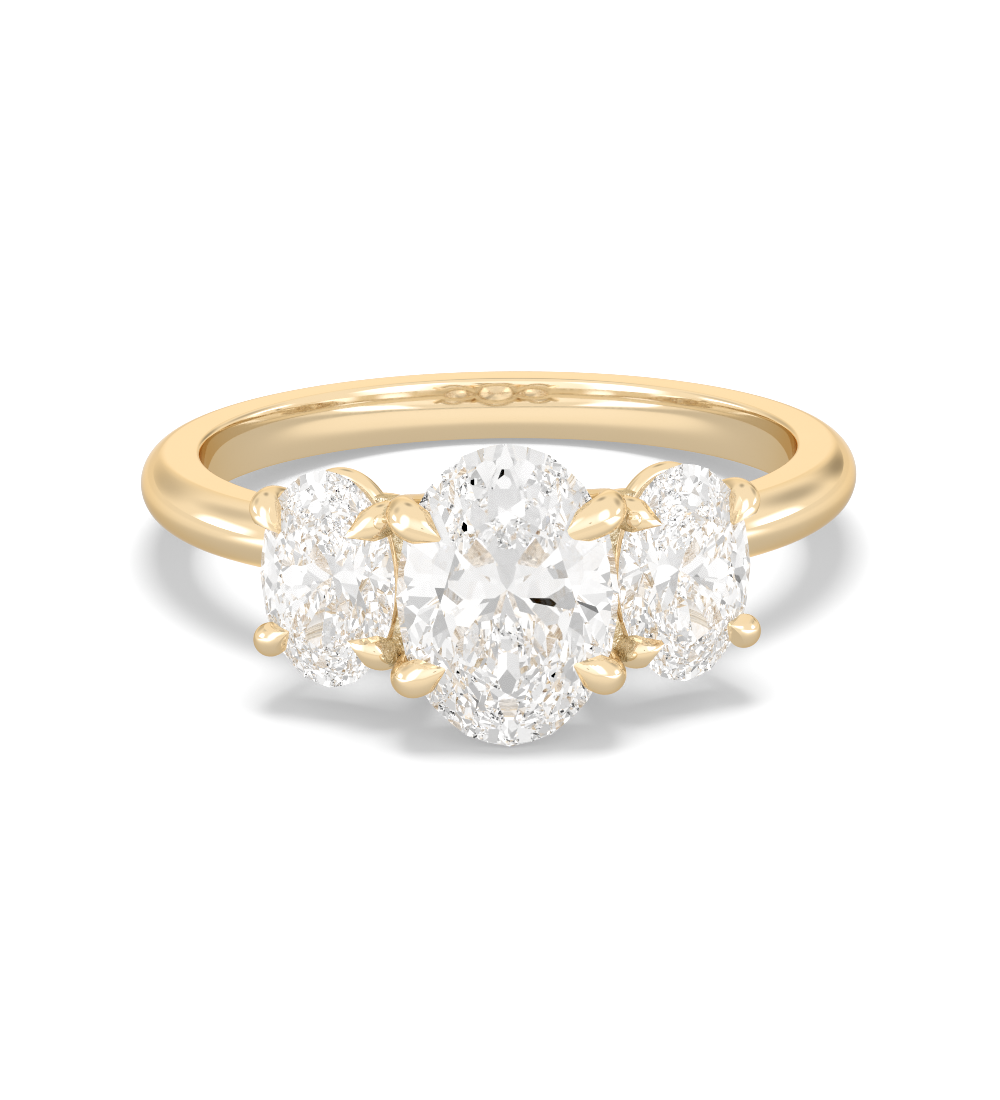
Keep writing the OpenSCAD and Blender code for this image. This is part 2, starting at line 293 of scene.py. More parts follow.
def finish_of(material, name):
    """Gives a material the roughness and the relief of one working, and returns its colour, which on cast
    gold holds painted shade.
    """
    tree = material.node_tree
    node, link = tree.nodes.new, tree.links.new
    surface = node("ShaderNodeGroup")
    surface.node_tree = WORKED
    surface.label = name
    link(node("ShaderNodeTexCoord").outputs["Object"], surface.inputs["Place"])
    for socket, value in WORK[name].items():
        surface.inputs[socket].default_value = (*value, 1) if isinstance(value, tuple) else value
    shader = tree.nodes["Principled BSDF"]
    link(surface.outputs["Roughness"], shader.inputs["Roughness"])
    relief = node("ShaderNodeBump")
    relief.inputs["Distance"].default_value = MM
    link(surface.outputs["Height"], relief.inputs["Height"])
    link(relief.outputs["Normal"], shader.inputs["Normal"])
    return surface.outputs["Colour"]


def gold_material(name):
    material, shader = new_material(name)
    shader.inputs["Metallic"].default_value = 1
    shader.inputs["Specular Tint"].default_value = (*GOLD_EDGE, 1)
    tree = material.node_tree
    seen = tree.nodes.new("ShaderNodeLightPath").outputs
    # Painted reflections: gold is paler as gold mirrors it, and palest as a stone shows it
    colour = mixed(tree, seen["Is Glossy Ray"], finish_of(material, name), GOLD_IN_GOLD)
    colour = mixed(tree, seen["Is Transmission Ray"], colour, GOLD_IN_STONE)
    feed(tree, colour, shader.inputs["Base Color"])
    return material


def diamond_material(name):
    material, shader = new_material(name)
    shader.inputs["Metallic"].default_value = 0
    shader.inputs["Roughness"].default_value = 0
    shader.inputs["IOR"].default_value = DIAMOND_IOR
    shader.inputs["Specular Tint"].default_value = (*DIAMOND_SHEEN, 1)
    shader.inputs["Transmission Weight"].default_value = 1
    return material, shader


def clear_facets():
    """Polished facets: clear, but for a faint warm cloud in the stone's body."""
    material, shader = diamond_material("polished facets")
    tree = material.node_tree
    where = tree.nodes.new("ShaderNodeTexCoord").outputs["Object"]
    cloud = noise_of(tree, in_mm(tree, where), CLOUD_SCALE, 0)
    feed(tree, mixed(tree, cloud, CLEAR, CLOUDED), shader.inputs["Base Color"])
    return material


def ground_girdle():
    """The frosted girdle, which is ground and not polished."""
    material, shader = diamond_material("ground girdle")
    feed(material.node_tree, finish_of(material, "ground girdle"), shader.inputs["Base Color"])
    return material


GOLD = gold_material("polished gold")
CAST_GOLD_IN_PAINTED_SHADE = gold_material("cast gold")
DIAMOND = clear_facets()
GIRDLE_GRIND = ground_girdle()


# Sweep of a section round an oval, as a tree of geometry nodes
def socket_id(tree, name):
    """The identifier of a tree's input, which a modifier's input is set by."""
    inputs = [item for item in tree.interface.items_tree if item.in_out == "INPUT"]
    return next(item.identifier for item in inputs if item.name == name)


def sweep_tree():
    tree = bpy.data.node_groups.new("section swept round an oval", "GeometryNodeTree")
    sockets(tree, (("Geometry", "Geometry"), ("Half width", "Float"), ("Half length", "Float"),
                   ("Steps", "Int"), ("Material", "Material")), (("Geometry", "Geometry"),))
    node = tree.nodes.new
    link = tree.links.new
    given = node("NodeGroupInput")
    result = node("NodeGroupOutput")
    circle = node("GeometryNodeCurvePrimitiveCircle")
    circle.inputs["Radius"].default_value = 1
    link(given.outputs["Steps"], circle.inputs["Resolution"])
    scale = node("ShaderNodeCombineXYZ")
    scale.inputs["Z"].default_value = 1
    link(given.outputs["Half width"], scale.inputs["X"])
    link(given.outputs["Half length"], scale.inputs["Y"])
    oval = node("GeometryNodeTransform")
    link(circle.outputs["Curve"], oval.inputs["Geometry"])
    link(scale.outputs["Vector"], oval.inputs["Scale"])
    upright = node("GeometryNodeSetCurveNormal")
    upright.mode = "Z_UP"
    link(oval.outputs["Geometry"], upright.inputs["Curve"])
    section = node("GeometryNodeMeshToCurve")
    link(given.outputs["Geometry"], section.inputs["Mesh"])
    skin = node("GeometryNodeCurveToMesh")
    link(upright.outputs["Curve"], skin.inputs["Curve"])
    link(section.outputs["Curve"], skin.inputs["Profile Curve"])
    real = node("GeometryNodeRealizeInstances")
    link(skin.outputs["Mesh"], real.inputs["Geometry"])
    finish = node("GeometryNodeSetMaterial")
    link(real.outputs["Geometry"], finish.inputs["Geometry"])
    link(given.outputs["Material"], finish.inputs["Material"])
    link(finish.outputs["Geometry"], result.inputs["Geometry"])
    return tree


SWEEP = sweep_tree()


def swept(name, section, half_w, half_l, steps, place):
    """A section of points [out, up], counter-clockwise, swept round an oval."""
    points = [(x, -y, 0) for x, y in reversed(section)]
    edges = [(i, (i + 1) % len(points)) for i in range(len(points))]
    mesh = bpy.data.meshes.new(name)
    mesh.from_pydata(points, edges, [])
    piece = put(name, mesh)
    made = piece.modifiers.new("sweep", "NODES")
    made.node_group = SWEEP
    made[socket_id(SWEEP, "Half width")] = float(half_w)
    made[socket_id(SWEEP, "Half length")] = float(half_l)
    made[socket_id(SWEEP, "Steps")] = steps
    made[socket_id(SWEEP, "Material")] = GOLD
    finished(piece)
    face_out(piece)
    piece.data.transform(place)
    return piece


def face_out(piece):
    """Turns a closed piece's faces outwards."""
    shape = bmesh.new()
    shape.from_mesh(piece.data)
    bmesh.ops.remove_doubles(shape, verts=shape.verts, dist=SAME_CORNER)
    bmesh.ops.recalc_face_normals(shape, faces=shape.faces)
    if shape.calc_volume(signed=True) < 0:
        bmesh.ops.reverse_faces(shape, faces=shape.faces)
    shape.to_mesh(piece.data)
    shape.free()


def arc(middle, radius, start, end, steps):
    """Points on an arc, from one angle in degrees to another."""
    turns = np.radians(np.linspace(start, end, steps))
    return [(middle[0] + radius * math.cos(t), middle[1] + radius * math.sin(t)) for t in turns]


# The band's section: a barely rounded wall beside the finger, rounded edges, and an outer
# face of one large arc that runs into the shoulders
WALL_BOW = 0.06
WINDOW_INSET = BASE_WIRE_W / 4
BAND_STEPS = 360
CROWN_STEPS = 25
WALL_STEPS = 15
ROUND_STEPS = 12


def band_section():
    half = BAND_W / 2
    edge_y = half - FINGER_EDGE_R
    bow_r = (edge_y ** 2 + WALL_BOW ** 2) / (2 * WALL_BOW)
    bow_turn = math.degrees(math.asin(edge_y / bow_r))
    shoulder_x = band_r - CROWN_RISE - SHOULDER_R
    shoulder_y = half - SHOULDER_R
    crown_r = (CROWN_RISE ** 2 + 2 * CROWN_RISE * SHOULDER_R + shoulder_y ** 2) / (2 * CROWN_RISE)
    crown_x = band_r - crown_r
    crown_turn = math.degrees(math.atan2(shoulder_y, shoulder_x - crown_x))
    edge_x = HOLE_R + WALL_BOW + FINGER_EDGE_R * math.cos(math.radians(bow_turn))
    crown = arc((crown_x, 0), crown_r, -crown_turn, crown_turn, CROWN_STEPS)
    shoulder = arc((shoulder_x, shoulder_y), SHOULDER_R, crown_turn, 90, ROUND_STEPS)
    edge = arc((edge_x, edge_y), FINGER_EDGE_R, 90, 180 - bow_turn, ROUND_STEPS)
    wall = arc((HOLE_R + bow_r, 0), bow_r, 180 - bow_turn, 180 + bow_turn, WALL_STEPS)
    lower = [(x, -y) for x, y in reversed(shoulder[1:] + edge)]
    return crown + shoulder[1:] + edge + wall[1:-1] + lower


def make_band():
    """The band, open in front of the finger hole and inside the side stones' base ovals."""
    middle = HOLE_R + BAND_WALL / 2
    section = [(x - middle, y) for x, y in band_section()]
    band = swept("band", section, middle, middle, BAND_STEPS, Matrix.Identity(4))
    gap = bmesh.new()
    room = Matrix.Diagonal((2 * side_base_x, 2 * band_r, 2 * BAND_W, 1))
    bmesh.ops.create_cube(gap, size=1, matrix=room)
    bmesh.ops.translate(gap, vec=(0, -band_r, 0), verts=gap.verts)
    cutters = [cutter_of("gap", gap, Matrix.Identity(4))]
    half_w, half_l = (half - WINDOW_INSET for half in SIDE["base"])
    for side in (-1, 1):
        window = bmesh.new()
        bmesh.ops.create_cone(window, cap_ends=True, segments=OVAL_STEPS, radius1=1, radius2=1,
                              depth=2 * (BAND_WALL + BASE_WIRE_H))
        place = at_stone(side) @ Matrix.Translation((0, 0, -SIDE["base_depth"]))
        cutters.append(cutter_of("window", window, place @ Matrix.Diagonal((half_w, half_l, 1, 1))))
    for cutter in cutters:
        cut_by(band, cutter)
    finished(band)
    for cutter in cutters:
        bpy.data.objects.remove(cutter)
    return band


def cut_by(piece, cutter):
    cut = piece.modifiers.new(cutter.name, "BOOLEAN")
    cut.operation = "DIFFERENCE"
    cut.solver = "MANIFOLD"
    cut.object = cutter


def cutter_of(name, shape, place):
    """A loose piece that others are cut with."""
    mesh = bpy.data.meshes.new(name)
    shape.to_mesh(mesh)
    shape.free()
    mesh.transform(place)
    return put(name, mesh)


RAIL_WIRE_STEPS = 24
BASE_WIRE_STEPS = 28


def oval_section(w, h, steps):
    turns = np.arange(steps) * math.tau / steps
    return [(w / 2 * math.cos(turn), h / 2 * math.sin(turn)) for turn in turns]


def make_rails(spec, side):
    """A stone's gallery rail, under its girdle, and its base oval beside the finger."""
    half_w, half_l = spec["w"] / 2 - spec["rail_inset"], spec["l"] / 2 - spec["rail_inset"]
    gallery_at = at_stone(side) @ Matrix.Translation((0, 0, -spec["rail_depth"]))
    base_at = at_stone(side) @ Matrix.Translation((0, 0, -spec["base_depth"]))
    wire = oval_section(RAIL_W, RAIL_H, RAIL_WIRE_STEPS)
    thick_wire = oval_section(BASE_WIRE_W, BASE_WIRE_H, BASE_WIRE_STEPS)
    return [swept("gallery_rail", wire, half_w, half_l, OVAL_STEPS, gallery_at),
            swept("base_oval", thick_wire, *spec["base"], OVAL_STEPS, base_at)]


# A claw above its shaft, in claw radii: steps outwards from the girdle and up from its
# middle, and the radius there. Two flats are filed on it, one on each side of its tip.
CLAW = np.array([
    [0.26, -0.95, 0.90],
    [0.18, -0.12, 0.97],
    [-0.04, 0.34, 1.00],
    [-0.48, 0.62, 0.96],
    [-0.96, 0.76, 0.86],
    [-1.46, 0.84, 0.72],
    [-1.96, 0.90, 0.54],
])
CLAW_BACK = 0.5
CLAW_FOOT = 0.78
CLAW_FOOT_AT = 40
CLAW_SIDES = 48
SHAFT_STOPS = (0, 0.35, 0.7)
STEPS_BETWEEN = 6
CLOSEST_ROWS = 1e-6
TIP_REACH = 1.95
TIP_UP = 1.42
FLAT_TURN = 23
FLAT_LEAN = 25
# The claws were filed by hand: for each of a stone's corners, left or right and above or
# below, the place round the girdle and the aim of the tip in degrees from the stone's narrow
# side, how much further than usual the tip reaches in claw radii, and how far the claw
# stands off in millimetres
CLAWS = {
    "centre": {"above left": (30.2, 26, 0.1, 0), "above right": (31.2, 23, 0.7, 0),
               "below left": (32, 26, 0.1, 0), "below right": (32, 30, 0.1, 0)},
    "left": {"above left": (37, 41, -0.25, 0.14), "above right": (36, 27, 0.1, 0),
             "below left": (37, 27, 0, 0.1), "below right": (39, 28, -0.15, 0)},
    "right": {"above left": (37, 21, -0.45, 0), "above right": (37, 43, -0.35, 0.15),
              "below left": (41, 22, -0.55, 0), "below right": (37, 27, -0.3, 0.14)},
}


def curved(rows, steps):
    """A smooth run through the rows, with a few steps between each two."""
    rows = np.asarray(rows, float)
    rows = np.vstack([2 * rows[0] - rows[1], rows, 2 * rows[-1] - rows[-2]])
    out = []
    for i in range(1, len(rows) - 2):
        p = rows[i - 1:i + 3]
        gaps = np.sqrt(np.maximum(np.linalg.norm(np.diff(p[:, :3], axis=0), axis=1), CLOSEST_ROWS))
        k = np.concatenate([[0], np.cumsum(gaps)])
        for s in range(steps):
            t = k[1] + (k[2] - k[1]) * s / steps
            a = [((k[j + 1] - t) * p[j] + (t - k[j]) * p[j + 1]) / (k[j + 1] - k[j]) for j in range(3)]
            b = [((k[j + 2] - t) * a[j] + (t - k[j]) * a[j + 1]) / (k[j + 2] - k[j]) for j in range(2)]
            out.append(((k[2] - t) * b[0] + (t - k[1]) * b[1]) / (k[2] - k[1]))
    return np.array(out + [rows[-2]])


def claw_mesh(name, spec, filed, place):
    """One claw, on the corner of the stone where both x and y are positive."""
    claw_at, aim, further, stand_off = filed
    a, b, r = spec["w"] / 2, spec["l"] / 2, spec["claw_d"] / 2
    turn, aimed = math.radians(claw_at), math.radians(aim)
    out = np.array([math.cos(aimed), math.sin(aimed), 0])
    girdle_at = np.array([a * math.cos(turn) + stand_off, b * math.sin(turn), 0])
    foot_turn = math.radians(CLAW_FOOT_AT)
    foot = np.array([spec["base"][0] * math.cos(foot_turn), spec["base"][1] * math.sin(foot_turn),
                     -spec["base_depth"]])
    longer = 1 + further / TIP_REACH
    head = [np.array([*(girdle_at + out * outwards * r * longer + (0, 0, up * r)), wide * r])
            for outwards, up, wide in CLAW]
    start = np.array([*foot, CLAW_FOOT * r])
    shaft = [start + (head[0] - start) * share for share in SHAFT_STOPS]
    rows = curved(shaft + head, STEPS_BETWEEN)
    points = []
    for i, row in enumerate(rows):
        along = rows[min(i + 1, len(rows) - 1)][:3] - rows[max(i - 1, 0)][:3]
        along /= np.linalg.norm(along)
        up = out - along * out.dot(along)
        up /= np.linalg.norm(up)
        across = np.cross(along, up)
        for j in range(CLAW_SIDES):
            f = math.tau * j / CLAW_SIDES
            c, s = math.cos(f), math.sin(f)
            points.append(row[:3] + row[3] * (up * (c if c > 0 else c * CLAW_BACK) + across * s))
    n = CLAW_SIDES
    faces = [(i * n + j, i * n + (j + 1) % n, (i + 1) * n + (j + 1) % n, (i + 1) * n + j)
             for i in range(len(rows) - 1) for j in range(n)]
    faces.append(tuple(range(n - 1, -1, -1)))
    faces.append(tuple((len(rows) - 1) * n + j for j in range(n)))
    tip = girdle_at - out * (TIP_REACH + further) * r + np.array([0, 0, TIP_UP * r])
    return filed_flat(mesh_of(name, points, faces), tip, out, place)


def filed_flat(mesh, tip, out, place):
    """A claw with a flat filed on each side of its tip."""
    shape = bmesh.new()
    shape.from_mesh(mesh)
    bmesh.ops.recalc_face_normals(shape, faces=shape.faces)
    inward = Vector(-out)
    across = Vector((0, 0, 1)).cross(inward)
    half, lean = math.radians(FLAT_TURN), math.radians(FLAT_LEAN)
    for side in (-1, 1):
        level = side * math.cos(half) * across + math.sin(half) * inward
        facing = math.cos(lean) * level + Vector((0, 0, math.sin(lean)))
        geom = shape.verts[:] + shape.edges[:] + shape.faces[:]
        cut = bmesh.ops.bisect_plane(shape, geom=geom, plane_co=Vector(tip), plane_no=facing,
                                     clear_outer=True, dist=SAME_POINT)
        rim = [part for part in cut["geom_cut"] if isinstance(part, bmesh.types.BMEdge)]
        bmesh.ops.contextual_create(shape, geom=rim)
    shape.to_mesh(mesh)
    shape.free()
    mesh.transform(place)
    if place.determinant() < 0:
        mesh.flip_normals()
    return mesh


# The cut of the stones, on a stone that is one wide each way round its girdle: tiers of flat
# facets, each with its count, the turn of its first facet in degrees, its slope as a share of
# the crown's or pavilion's depth, and where its plane meets the stone's axis, in that depth
TABLE = 0.6
CROWN_SLOPE = 1 / (1 - TABLE)
STAR_SLOPE = 1.39
HALF_SLOPE = CROWN_SLOPE * 1.13
PAVILION_TIERS = (
    (8, 0, 1.0, 1.0),
    (8, 22.5, 1.04, 1.02),
    (16, 11.25, 1.1, 1.065),
    (16, 0, 1.22, 1.16),
    (32, 5.625, 1.4, 1.31),
)
CROWN_TIERS = (
    (8, 0, CROWN_SLOPE, CROWN_SLOPE),
    (8, 22.5, STAR_SLOPE, 1 + STAR_SLOPE * TABLE * math.cos(math.radians(22.5))),
    (16, 11.25, HALF_SLOPE, HALF_SLOPE * math.cos(math.radians(11.25))),
)
GIRDLE_SIDES = 96
SAME_PLANE = 0.2
UPRIGHT = 1e-5


def cut_stone(name, spec, gap, place):
    """A stone ground to shape facet by facet, from a round blank, then stretched to its oval."""
    crown, pavilion = spec["crown"] + gap, spec["pavilion"] + gap
    edge = (GIRDLE + gap) / 2
    blank = bmesh.new()
    bmesh.ops.create_cone(blank, cap_ends=True, segments=GIRDLE_SIDES, radius1=1, radius2=1,
                          depth=2 * (crown + pavilion))

    def grind(across, up, height):
        """One flat facet, whose plane meets the axis at a height."""
        shape = blank.verts[:] + blank.edges[:] + blank.faces[:]
        cut = bmesh.ops.bisect_plane(blank, geom=shape, plane_co=(0, 0, height),
                                     plane_no=(*across, up), clear_outer=True, dist=SAME_POINT)
        rim = [part for part in cut["geom_cut"] if isinstance(part, bmesh.types.BMEdge)]
        if len(rim) > 2:
            bmesh.ops.contextual_create(blank, geom=rim)

    grind((0, 0), 1, edge + crown)
    for tiers, depth, up in ((CROWN_TIERS, crown, 1), (PAVILION_TIERS, pavilion, -1)):
        for count, first, slope, apex in tiers:
            for i in range(count):
                turn = math.radians(first) + math.tau * i / count
                grind((slope * depth * math.cos(turn), slope * depth * math.sin(turn)), up,
                      up * (edge + depth * apex))
    bmesh.ops.remove_doubles(blank, verts=blank.verts, dist=SAME_POINT)
    bmesh.ops.dissolve_limit(blank, angle_limit=math.radians(SAME_PLANE), verts=blank.verts[:],
                             edges=blank.edges[:])
    mesh = bpy.data.meshes.new(name)
    blank.to_mesh(mesh)
    blank.free()
    for face in mesh.polygons:
        face.material_index = int(abs(face.normal.z) < UPRIGHT)
    mesh.transform(place @ Matrix.Diagonal((spec["w"] / 2 + gap, spec["l"] / 2 + gap, 1, 1)))
    return mesh


# Where neighbouring stones meet, their claws are soldered to a small web under the girdles.
# It runs along the side stone's girdle, from one angle to another, and reaches out under the
# centre stone. The metal near these joints keeps the rough, pitted skin of the casting, and its
# colour is darkened there with painted shade for the crevices between the stones
WEB_FROM = 9
WEB_TO = 50
WEB_OFF_GIRDLE = 0.03
WEB_REACH = 0.75
WEB_NARROW = 0.3
WEB_DEEP = 0.12
WEB_THICK = 0.45
WEB_STEPS = 28
WEB_RISE = 0.05
WEB_RIPPLES = 4
CAST_SHADE_FROM = (3.0, 12.2, 0.4)
CAST_SHADE_TO = (3.0, 12.5, 1.75)
CAST_SHADE_REACH = 0.47
BEAD_AT = {"left": (-3.33, -12.87, 1.84), "right": (3.41, -12.88, 1.79)}
BEAD_R = 0.21
BEAD_FLAT = 0.62
BEAD_DIVIDED = 4
CREASE = 35


def make_web(side, up):
    """A web at one joint: a strip along the girdle, whose top and foot are joined at the rim."""
    a, b = SIDE["w"] / 2 + WEB_OFF_GIRDLE, SIDE["l"] / 2 + WEB_OFF_GIRDLE
    rows = []
    for i in range(WEB_STEPS + 1):
        along = i / WEB_STEPS
        turn = math.radians(WEB_FROM + (WEB_TO - WEB_FROM) * along)
        inner = Vector((a * math.cos(turn), b * math.sin(turn), 0))
        outer = inner + Vector((WEB_REACH * (WEB_NARROW + (1 - WEB_NARROW) * along), 0, 0))
        row = []
        for depth in (WEB_DEEP, WEB_DEEP + WEB_THICK):
            for j in range(WEB_STEPS // 2 + 1):
                share = j / (WEB_STEPS // 2)
                place = inner.lerp(outer, share if depth == WEB_DEEP else 1 - share)
                ripple = noise.noise(place * WEB_RIPPLES) * WEB_RISE
                row.append(place - Vector((0, 0, depth + ripple)))
        rows.append(row)
    n = len(rows[0])
    points = [p for row in rows for p in row]
    faces = [(i * n + j, i * n + (j + 1) % n, (i + 1) * n + (j + 1) % n, (i + 1) * n + j)
             for i in range(WEB_STEPS) for j in range(n)]
    faces.append(tuple(range(n - 1, -1, -1)))
    faces.append(tuple(WEB_STEPS * n + j for j in range(n)))
    place = at_stone(side) @ Matrix.Diagonal((-side, up, 1, 1))
    web = put("solder_web", mesh_of("solder_web", points, faces, place), GOLD)
    face_out(web)
    return web


def make_bead(name, middle):
    """A round bead of solder, pressed flat on the claws' joint."""
    shape = bmesh.new()
    bmesh.ops.create_icosphere(shape, subdivisions=BEAD_DIVIDED, radius=BEAD_R)
    bmesh.ops.scale(shape, vec=(1, BEAD_FLAT, 1), verts=shape.verts)
    bmesh.ops.translate(shape, vec=middle, verts=shape.verts)
    mesh = bpy.data.meshes.new(name)
    shape.to_mesh(mesh)
    shape.free()
    return put(name, mesh, GOLD)


def keep_cast_in_painted_shade(piece):
    """Leaves the faces near a joint as they were cast, and a web all over, and gives them the cast gold's
    painted shade.
    """
    piece.data.materials.clear()
    for material in (GOLD, CAST_GOLD_IN_PAINTED_SHADE):
        piece.data.materials.append(material)
    start, run = Vector(CAST_SHADE_FROM), Vector(CAST_SHADE_TO) - Vector(CAST_SHADE_FROM)
    for face in piece.data.polygons:
        at = Vector((abs(face.center.x), -face.center.y, abs(face.center.z))) - start
        share = min(max(at.dot(run) / run.dot(run), 0), 1)
        near = (at - run * share).length < CAST_SHADE_REACH
        face.material_index = int(near or piece.name.startswith("solder_web"))


# The stones
for side, spec, node in ((0, CENTRE, "centre_stone"), (-1, SIDE, "left_stone"), (1, SIDE, "right_stone")):
    cut = cut_stone(node, spec, 0, LAY @ at_stone(side))
    cut.materials.append(DIAMOND)
    cut.materials.append(GIRDLE_GRIND)
    stone = put("cut_" + node, cut)
    face_out(stone)
    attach(stone, "root")
    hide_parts(node)

# The metal
metal = [make_band()]
for side, spec, which in ((0, CENTRE, "centre"), (-1, SIDE, "left"), (1, SIDE, "right")):
    metal += make_rails(spec, side)
    seat = put("seat", cut_stone("seat", spec, SEAT_GAP, at_stone(side)))
    face_out(seat)
    for corner, filed in CLAWS[which].items():
        mirror = Matrix.Diagonal((1 if "right" in corner else -1, 1 if "above" in corner else -1, 1, 1))
        claw = put("claw", claw_mesh("claw", spec, filed, at_stone(side) @ mirror), GOLD)
        face_out(claw)
        cut_by(claw, seat)
        finished(claw)
        metal.append(claw)
    bpy.data.objects.remove(seat)
for side, name in ((-1, "left"), (1, "right")):
    metal += [make_web(side, up) for up in (-1, 1)]
    metal.append(make_bead("solder_bead", BEAD_AT[name]))
for i, piece in enumerate(metal):
    keep_cast_in_painted_shade(piece)
    piece.name = f"{piece.name.split('.')[0]}_{i}"
    piece.data.transform(LAY)
    smooth(piece, CREASE)
    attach(piece, "root")
    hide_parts("band_and_settings")


# What the stones see through their facets: the folds of the tent's cloth, also painted on the table
FOLD_SCALE = 5
FOLD_DARK = 0.48
FOLD_LIGHT = 1.12
FOLD_DETAIL = 2
FOLD_ROUGHNESS = 0.6
# Between these shares of its pattern the cloth turns from its darkest to its lightest
FOLD_FROM = 0.42
FOLD_TO = 0.58


def folds(tree, way):
    """Soft light and shade of folded cloth, the tent's own and that painted on the table, which shows in
    the stones alone.
    """
    cloth = noise_of(tree, way, FOLD_SCALE, FOLD_DETAIL, FOLD_ROUGHNESS)
    return ranged(tree, cloth, True, from_min=FOLD_FROM, from_max=FOLD_TO,
                  to_min=FOLD_DARK, to_max=FOLD_LIGHT)


# The table under the ring. Pools of light, as from low softboxes, are painted on it at the front on
# both sides as its own glow: the bearings of the pools' middles, their half width in degrees and their
# nearest reach
FLOOR_R = 1.5
FLOOR_SIDES = 64
FLOOR_ROUGHNESS = 0.9
PAINTED_POOL_BEARINGS = (-120, 122)
PAINTED_POOL_HALF_WIDTH = 24
PAINTED_POOL_NEAR = 0.014
PAINTED_POOL_FULL = 0.024
PAINTED_POOL_STRENGTH = 1.0
FLOOR_WHITE = 0.3
FLOOR_GLOW = 0.4
LAMP_AT = (0, 0.01, 0.3)
LAMP_SIZE = 0.15
LAMP_POWER = 1.55
# What the gold sees of the table, by the distance from the ring's middle in metres: bright
# inside the ring, dimmer in its shade, and bright again beyond
TABLE_SPAN = 0.03
TABLE_TOP = 1.2
TABLE_IN_GOLD = ((0.0, 1.05), (0.0072, 1.0), (0.009, 0.66), (0.0118, 0.66), (0.0165, 0.92))


# The softboxes' light is cooler than the tent's, so that highlights on gold are nearly white
COOL = (0.82, 0.95, 1.3)
COOL_FROM = 1.02
COOL_TO = 1.7


def cooled(tree, level, seen):
    """The colour of light by its level, as only gold mirrors it, whose polish isn't perfect."""
    in_gold = math_of(tree, "SUBTRACT", seen["Is Glossy Ray"], seen["Is Singular Ray"], clamp=True)
    share = ranged(tree, level, from_min=COOL_FROM, from_max=COOL_TO, to_max=in_gold)
    return mixed(tree, share, (1, 1, 1), COOL)


def painted_light_pools(tree, where, reach):
    """The level of the painted pools of light, by the bearing and the reach of a place on the table."""
    outward = vector_of(tree, "NORMALIZE", where)
    total = 0
    for bearing in PAINTED_POOL_BEARINGS:
        turn = math.radians(bearing)
        dot = vector_of(tree, "DOT_PRODUCT", outward, (math.sin(turn), math.cos(turn), 0))
        fall = ranged(tree, dot, True, from_min=math.cos(math.radians(PAINTED_POOL_HALF_WIDTH)),
                      from_max=math.cos(math.radians(PAINTED_POOL_HALF_WIDTH / 2)), to_max=PAINTED_POOL_STRENGTH)
        total = math_of(tree, "ADD", total, fall)
    beyond = ranged(tree, reach, True, from_min=PAINTED_POOL_NEAR, from_max=PAINTED_POOL_FULL)
    return math_of(tree, "MULTIPLY", total, beyond)


def table_in_stones(tree, where):
    """The table through the stones' facets: painted light and shade of folded cloth, and a painted dark
    patch.
    """
    way = vector_of(tree, "NORMALIZE", vector_of(tree, "SUBTRACT", where, (0, 0, STONES_OVER_TABLE)))
    return glowing(tree, tent_of(tree, way, PAINTED_TABLE_PATCHES, folds(tree, way)))


def table_in_gold(tree, reach, painted_pools, seen):
    """The table as gold mirrors it, shaded by its reach from the ring's middle."""
    shade = tree.nodes.new("ShaderNodeFloatCurve")
    feed(tree, math_of(tree, "DIVIDE", reach, TABLE_SPAN, clamp=True), shade.inputs["Value"])
    curve = shade.mapping.curves[0]
    stops = [(at / TABLE_SPAN, level / TABLE_TOP) for at, level in TABLE_IN_GOLD]
    curve.points[0].location = stops[0]
    curve.points[1].location = (1, stops[-1][1])
    for stop in stops[1:]:
        curve.points.new(*stop)
    shade.mapping.update()
    level = math_of(tree, "MULTIPLY", shade.outputs["Value"], TABLE_TOP)
    # The painted pools of light show in the gold too
    level = math_of(tree, "ADD", level, painted_pools)
    return glowing(tree, level, cooled(tree, level, seen))


def table_top():
    """The white table. Gold and stones each see it in their own way."""
    material, shader = new_material("white table")
    shader.inputs["Base Color"].default_value = (FLOOR_WHITE, FLOOR_WHITE, FLOOR_WHITE, 1)
    shader.inputs["Roughness"].default_value = FLOOR_ROUGHNESS
    shader.inputs["Specular IOR Level"].default_value = 0
    shader.inputs["Emission Color"].default_value = (1, 1, 1, 1)
    tree = material.node_tree
    where = tree.nodes.new("ShaderNodeTexCoord").outputs["Object"]
    seen = tree.nodes.new("ShaderNodeLightPath").outputs
    reach = vector_of(tree, "LENGTH", where)
    painted_pools = painted_light_pools(tree, where, reach)
    # The table glows evenly, and more in the painted pools of light
    feed(tree, math_of(tree, "ADD", painted_pools, FLOOR_GLOW), shader.inputs["Emission Strength"])
    shown = either(tree, seen["Is Transmission Ray"], shader.outputs["BSDF"],
                   table_in_stones(tree, where))
    shown = either(tree, seen["Is Glossy Ray"], shown, table_in_gold(tree, reach, painted_pools, seen))
    feed(tree, shown, tree.nodes["Material Output"].inputs["Surface"])
    return material


def make_floor():
    mesh = bpy.data.meshes.new("floor")
    shape = bmesh.new()
    bmesh.ops.create_circle(shape, cap_ends=True, radius=FLOOR_R, segments=FLOOR_SIDES)
    shape.to_mesh(mesh)
    shape.free()
    floor = put("floor", mesh, table_top())


def make_lamp():
    """A softbox overhead that lights the table alone, for the shadows close round the ring."""
    lamp = bpy.data.lights.new("overhead softbox", "AREA")
    lamp.size = LAMP_SIZE
    lamp.energy = LAMP_POWER
    stand = bpy.data.objects.new("overhead softbox", lamp)
    bpy.context.scene.collection.objects.link(stand)
    stand.location = LAMP_AT
    stand.visible_glossy = False
    stand.visible_transmission = False
    stand.visible_camera = False


